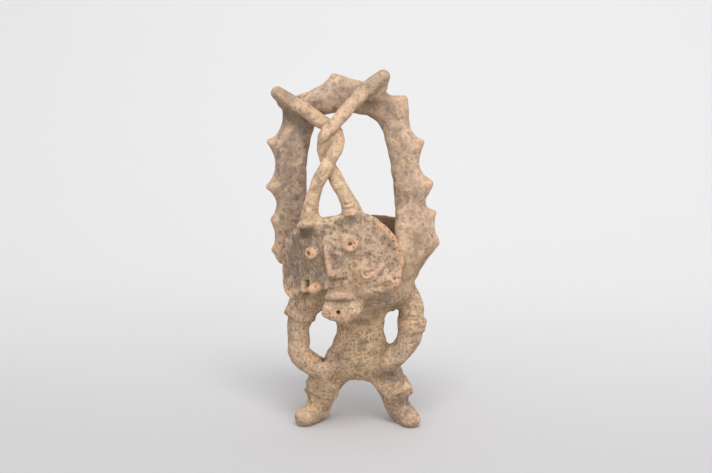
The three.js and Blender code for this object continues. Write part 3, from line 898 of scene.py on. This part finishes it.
# soot and painted shade, darkest in slits, grooves and brow hollows and under the horns and the mask
marks["soot_and_shade"] = most(
    patch(-24, 21.5, 11, 5, 0.5),
    0.35 * patch(30, 27, 9, 3.5, 0.4),
    1.2 * patch(-38.5, -34, 1.9, 5.2, 0.3),
    0.9 * patch(0, -34, 8, 1.8, 0.4),
    0.8 * patch(36, -52, 16, 4, 0.5),
    0.6 * ball([-84, -10, 346], [14, 16, 10]),
    0.7 * ball([26, -10, 360], [18, 12, 6]),
    0.8 * along([[-28, -88, 156.8], [6, -88, 157.2]], 2.4, 0.4),
    0.35 * ball([-22, -26, 80], [8, 12, 7]),
    0.5 * ball([40, -26, 57], [13, 14, 6]),
    0.55 * ball([47, -18, 26], [14, 14, 9]),
    0.5 * along([[-52, -8, 314], [-52.5, -8, 250], [-52, -8, 196]], 6, 0.6),
    0.25 * along([[-40, -10, 340], [-10, -10, 345], [16, -10, 340]], 6, 0.6),
    0.3 * ball([34, -60, 160], [12, 12, 5]),
    0.3 * patch(-26, -17, 9, 8, 0.5),
    0.2 * patch(36, 26, 14, 5, 0.5),
    0.35 * ball([-80, -20, 369], [12, 14, 12]),
    0.14 * along([[-1, -68, 250], [-9, -66, 268]], 12),
    0.18 * ball([-12, -88, 163], [20, 16, 7]),
    0.15 * ball([-12, -88, 141], [20, 16, 9]),
    0.14 * mask_edge * ease(face_u, 36, 58),
    0.14 * ball([66, -24, 218], [14, 22, 18]),
    0.12 * along([[56, -20, 96], [46, -24, 84]], 12),
    0.14 * ball([-54, -20, 5], [18, 18, 9]),
    0.14 * ball([58, -18, 6], [18, 16, 9]),
    0.25 * ball([60, -30, 186], [12, 20, 18], 0.7),
    0.25 * ball([-46, -18, 38], [12, 10, 6]),
)

for name, values in marks.items():
    layer = mesh.attributes.new(name, "FLOAT", "POINT")
    layer.data.foreach_set("value", np.ascontiguousarray(values, dtype=np.float32))


# Materials, in colours as seen on a screen, 0 to 255
# hollow and underside are painted shade colours; bowl inside and soot serve soot and painted shade; fire
# cloud also serves painted shade
TINTS = {
    "buff": (190, 165, 137), "pink buff": (211, 181, 154), "dusty pink": (206, 177, 153),
    "yellow slip": (212, 184, 146), "ochre": (192, 161, 119), "pink": (218, 182, 152),
    "cream": (220, 196, 164), "olive": (150, 133, 115), "brown": (158, 127, 100),
    "crust": (226, 194, 156), "grey pink": (184, 166, 155), "orange": (214, 172, 139),
    "fire cloud and shade": (118, 109, 103), "ember": (190, 152, 122), "hollow": (134, 108, 80),
    "underside shade": (132, 108, 82), "bowl inside soot and shade": (128, 98, 72), "soot_and_shade": (92, 76, 62),
    "grey spot": (110, 98, 92), "dark grain": (108, 84, 68), "rust": (164, 118, 90),
    "pit": (108, 82, 64), "near paper shade": (197, 196, 197), "far paper": (236, 235, 235),
}


def tint(name):
    """The named colour as a shader's linear colour."""
    shares = [v / 255 for v in TINTS[name]]
    linear = [v / 12.92 if v <= 0.04045 else ((v + 0.055) / 1.055) ** 2.4 for v in shares]
    return (*linear, 1.0)


class Nodes:
    """Short calls for building a material's node tree."""

    def __init__(self, name):
        self.material = bpy.data.materials.new(name)
        self.material.use_nodes = True
        self.tree = self.material.node_tree
        self.tree.nodes.clear()
        self.where = self.add("TexCoord").outputs["Object"]

    def add(self, kind, inputs=(), **settings):
        """A node with its settings, and with its inputs set to values or linked to outputs."""
        node = self.tree.nodes.new("ShaderNode" + kind)
        for key, value in settings.items():
            setattr(node, key, value)
        for key, value in dict(inputs).items():
            if isinstance(value, bpy.types.NodeSocket):
                self.tree.links.new(value, node.inputs[key])
            else:
                node.inputs[key].default_value = value
        return node

    def math(self, operation, *values, clamp=False):
        inputs = dict(enumerate(values))
        return self.add("Math", inputs, operation=operation, use_clamp=clamp).outputs[0]

    def line(self, value, slope, start):
        return self.math("MULTIPLY_ADD", value, slope, start)

    def times(self, *values):
        out = values[0]
        for value in values[1:]:
            out = self.math("MULTIPLY", out, value)
        return out

    def wash(self, colour, name, *shares):
        """Lays a named colour over another, by the product of the shares."""
        inputs = {0: self.times(*shares), 6: colour, 7: tint(name)}
        return self.add("Mix", inputs, data_type="RGBA", clamp_factor=True).outputs[2]

    def attr(self, name):
        return self.add("Attribute", attribute_name=name).outputs["Fac"]

    def noise(self, scale, detail, rough, distortion=0.0, output="Fac"):
        inputs = {"Vector": self.where, "Scale": scale, "Detail": detail}
        inputs |= {"Roughness": rough, "Distortion": distortion}
        return self.add("TexNoise", inputs).outputs[output]

    def step(self, value, low, high):
        inputs = {"Value": value, "From Min": low, "From Max": high}
        node = self.add("MapRange", inputs, interpolation_type="SMOOTHSTEP", clamp=True)
        return node.outputs["Result"]

    def flecks(self, scale, low, high, detail=2.0, rough=0.6):
        """Grains of no fixed shape: where fine noise rises above a level."""
        return self.step(self.noise(scale, detail, rough), low, high)

    def spots(self, where, scale, radius, edge, chance):
        """Round spots in a share of the cells, each with a strength of its own."""
        cell = self.add("TexVoronoi", {"Vector": where, "Scale": scale})
        tone = self.add("SeparateColor", {0: cell.outputs["Color"]})
        dot = self.math("SUBTRACT", 1.0, self.step(cell.outputs["Distance"], radius - edge, radius + edge))
        pick = self.math("LESS_THAN", tone.outputs[0], chance)
        return self.times(dot, pick, self.line(tone.outputs[1], 0.65, 0.35))

    def surface(self, inputs):
        """Ends the material with its shader, and gives it back."""
        shader = self.add("BsdfPrincipled", inputs)
        self.add("OutputMaterial", {"Surface": shader.outputs[0]})
        return self.material


def clay_material():
    """Buff clay: its ground, the marks that the surface carries, painted shade, spots, grit and bump."""
    n = Nodes("buff_clay")
    ridge, recess_shade, under_shade, face, warm, smoke, pale, ochre, *others = map(n.attr, marks)
    marked, handle, gritty, inside, soot_and_shade = others

    broad = n.noise(26, 4, 0.62)
    middle = n.noise(95, 4, 0.62)
    fine = n.noise(380, 4, 0.7)
    grain = n.noise(1300, 2, 0.6)

    # buff ground, mottled from olive-grey to pink-buff, cream and brown
    colour = n.wash(tint("buff"), "pink buff", n.step(broad, 0.42, 0.58))
    colour = n.wash(colour, "dusty pink", handle, 0.4)
    colour = n.wash(colour, "yellow slip", pale, 0.6)
    colour = n.wash(colour, "ochre", ochre, 0.55)
    colour = n.wash(colour, "pink", n.flecks(52, 0.5, 0.6, 5), 0.6)
    colour = n.wash(colour, "cream", n.flecks(88, 0.52, 0.62, 5), 0.55)
    mottle = n.flecks(74, 0.52, 0.62, 5)
    colour = n.wash(colour, "olive", mottle, n.line(handle, -0.35, 0.75))
    colour = n.wash(colour, "brown", n.flecks(140, 0.53, 0.63, 3), 0.6)
    colour = n.wash(colour, "crust", n.flecks(110, 0.49, 0.59, 5, 0.7), gritty, 0.7)
    colour = n.wash(colour, "grey pink", n.flecks(105, 0.5, 0.62, 3), handle, 0.45)

    # raised and thin clay burned orange-pink, in patches
    worn = n.math("ADD", warm, n.times(n.step(ridge, 0.08, 0.45), 0.3))
    worn = n.math("MULTIPLY", worn, n.line(n.step(middle, 0.34, 0.6), 0.6, 0.35), clamp=True)
    colour = n.wash(colour, "orange", worn)

    # fire clouds, which also lay the painted shade of the marks
    cloud_and_shade = n.math("MULTIPLY", smoke, n.step(n.noise(62, 5, 0.7, 0.6), 0.34, 0.58), clamp=True)
    cloud_and_shade = n.times(cloud_and_shade, n.math("SUBTRACT", 1.0, n.times(warm, 0.75)))
    colour = n.wash(colour, "fire cloud and shade", cloud_and_shade, 0.85)
    colour = n.wash(colour, "ember", n.flecks(84, 0.54, 0.66, 3), smoke, 0.35)

    # painted shade in hollows and under downward faces; soot and painted shade inside the bowl and from the
    # marks
    deep = n.math("MULTIPLY", recess_shade, n.line(middle, 0.7, 0.45), clamp=True)
    colour = n.wash(colour, "hollow", deep)
    colour = n.wash(colour, "underside shade", under_shade, 0.4)
    colour = n.wash(colour, "bowl inside soot and shade", inside, 0.85)
    colour = n.wash(colour, "soot_and_shade", soot_and_shade, 0.8)

    # soft grey mineral spots, and small dark grains that crowd the mask
    bends = {0: n.noise(230, 3, 0.6, output="Color"), 1: (0.004, 0.004, 0.004), 2: n.where}
    bent = n.add("VectorMath", bends, operation="MULTIPLY_ADD").outputs[0]
    large = n.times(n.spots(bent, 88, 0.32, 0.12, 0.85), n.line(marked, 1.05, -0.05))
    medium = n.times(n.spots(bent, 150, 0.36, 0.15, 0.75), n.line(marked, 0.85, 0.1))
    soft = n.times(n.math("MAXIMUM", large, n.times(medium, 0.9)), n.line(warm, -0.6, 0.85))
    colour = n.wash(colour, "grey spot", n.math("MULTIPLY", soft, 1.0, clamp=True))
    crowd = n.line(face, 0.35, n.line(gritty, 0.25, 0.28))
    pocks = n.times(n.spots(bent, 240, 0.34, 0.15, 0.75), crowd)
    speck = n.times(n.flecks(400, 0.6, 0.7), n.flecks(80, 0.4, 0.6, 3), crowd)
    mineral = n.math("MAXIMUM", pocks, speck)
    colour = n.wash(colour, "dark grain", n.math("MULTIPLY", mineral, 1.3, clamp=True))

    # coarse grit, cream and rust, thickest on the lower body and gathered in drifts
    drift = n.flecks(64, 0.38, 0.6, 4)
    rough = n.line(n.times(gritty, drift), 0.7, 0.2)
    fleck = n.times(n.flecks(430, 0.54, 0.66, 4, 0.75), rough)
    colour = n.wash(colour, "cream", fleck, 0.6)
    colour = n.wash(colour, "rust", n.flecks(300, 0.56, 0.66, 4, 0.7), rough, 0.65)
    pits = n.times(n.flecks(340, 0.59, 0.68, 4, 0.7), n.line(gritty, 0.75, 0.1))
    colour = n.wash(colour, "pit", pits, 0.75)

    # light and dark sand over the lower body
    sandy = n.times(gritty, n.line(n.noise(520, 3, 0.7), 1.6, -0.78))
    level = n.math("ADD", n.line(fine, 0.9, 0.61), sandy)
    shade = n.add("HueSaturation", {"Value": level, "Color": colour})

    height = n.line(fine, 0.7, n.times(grain, 0.25))
    height = n.math("ADD", height, n.times(middle, 1.2))
    height = n.math("SUBTRACT", height, n.times(n.math("MAXIMUM", mineral, pits), 0.6))
    height = n.math("ADD", height, n.times(fleck, 0.4))
    bump = n.add("Bump", {"Strength": 0.75, "Distance": 0.0016, "Height": height})
    return n.surface({
        "Base Color": shade.outputs[0],
        "Roughness": n.line(fine, 0.16, 0.80),
        "Specular IOR Level": 0.25,
        "Normal": bump.outputs[0],
    })


mesh.materials.append(clay_material())
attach(piece, "root")
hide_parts("incense_burner")


# Floor and light, in metres: the paper's front edge, where its painted shade fades, its bend, top and half
# width
PAPER_FRONT, GREY_Y, WHITE_Y, BEND_Y, BEND_RADIUS = -1.6, -0.3, 0.75, 0.55, 0.9
PAPER_TOP, PAPER_HALF = 3.2, 3.0


def paper_material():
    """Studio paper, with painted shade that greys it towards the front."""
    n = Nodes("paper")
    place = n.add("SeparateXYZ", {0: n.where})
    colour = n.wash(tint("near paper shade"), "far paper", n.step(place.outputs[1], GREY_Y, WHITE_Y))
    return n.surface({"Base Color": colour, "Roughness": 0.9, "Specular IOR Level": 0.2})


def stage_floor():
    """A sheet that runs back and curves up into the backdrop."""
    profile = [(PAPER_FRONT, 0.0), (GREY_Y, 0.0), (BEND_Y, 0.0)]
    for angle in np.linspace(0, math.pi / 2, 16)[1:]:
        profile.append((BEND_Y + BEND_RADIUS * math.sin(angle), BEND_RADIUS * (1 - math.cos(angle))))
    profile.append((BEND_Y + BEND_RADIUS, PAPER_TOP))
    places = [(x, y, z) for y, z in profile for x in (-PAPER_HALF, PAPER_HALF)]
    quads = [(2 * k, 2 * k + 1, 2 * k + 3, 2 * k + 2) for k in range(len(profile) - 1)]
    floor_mesh = bpy.data.meshes.new("floor")
    floor_mesh.from_pydata(places, [], quads)
    floor_mesh.shade_smooth()
    floor_mesh.materials.append(paper_material())
    put_in_scene("floor", floor_mesh)


# Lights: name, place, target, width, height, watts
LIGHTS = [
    ("top", (0.15, -0.9, 1.8), (0, 0, 0.1), 0.8, 0.6, 16),
    ("left", (-0.9, -1.9, 0.8), (0, 0, 0.2), 1.3, 1.1, 6),
    ("right", (1.1, -1.8, 0.8), (0, 0, 0.2), 1.3, 1.1, 13),
]
LIGHT_COLOUR, ROOM_COLOUR, ROOM_STRENGTH = (1.0, 0.99, 0.98), (0.95, 0.96, 0.98, 1), 0.71


def soft_light(name, place, target, width, height, watts):
    lamp = bpy.data.lights.new(name, "AREA")
    lamp.shape = "RECTANGLE"
    lamp.size, lamp.size_y = width, height
    lamp.energy = watts
    lamp.color = LIGHT_COLOUR
    holder = put_in_scene(name, lamp)
    holder.location = place
    holder.rotation_euler = (Vector(target) - Vector(place)).to_track_quat("-Z", "Y").to_euler()


stage_floor()
for light in LIGHTS:
    soft_light(*light)
world = bpy.data.worlds.new("studio")
world.use_nodes = True
background = world.node_tree.nodes["Background"]
background.inputs["Color"].default_value = ROOM_COLOUR
background.inputs["Strength"].default_value = ROOM_STRENGTH
bpy.context.scene.world = world
bpy.context.scene.view_settings.view_transform = "Standard"
bpy.context.scene.view_settings.look = "None"

# Camera: its distance and target in mm, its focal length and the image's width in pixels
AZIMUTH, ELEVATION, DISTANCE = math.radians(5.0), math.radians(10.0), 1500.0
TARGET = np.array([-2.0, 0.0, 212.0])
FOCAL, IMAGE_WIDTH, SENSOR_WIDTH = 1350.0, 712, 36.0
level = math.cos(ELEVATION)
back = np.array([math.sin(AZIMUTH) * level, -math.cos(AZIMUTH) * level, math.sin(ELEVATION)])
camera_data = bpy.data.cameras.new("camera")
camera_data.sensor_width = SENSOR_WIDTH
camera_data.lens = SENSOR_WIDTH * FOCAL / IMAGE_WIDTH
camera_data.clip_start, camera_data.clip_end = 0.05, 20
camera = put_in_scene("camera", camera_data)
camera.location = Vector((TARGET + back * DISTANCE - PLAN_CENTRE) * MM)
camera.rotation_euler = Vector(-back).to_track_quat("-Z", "Y").to_euler()
bpy.context.scene.camera = camera
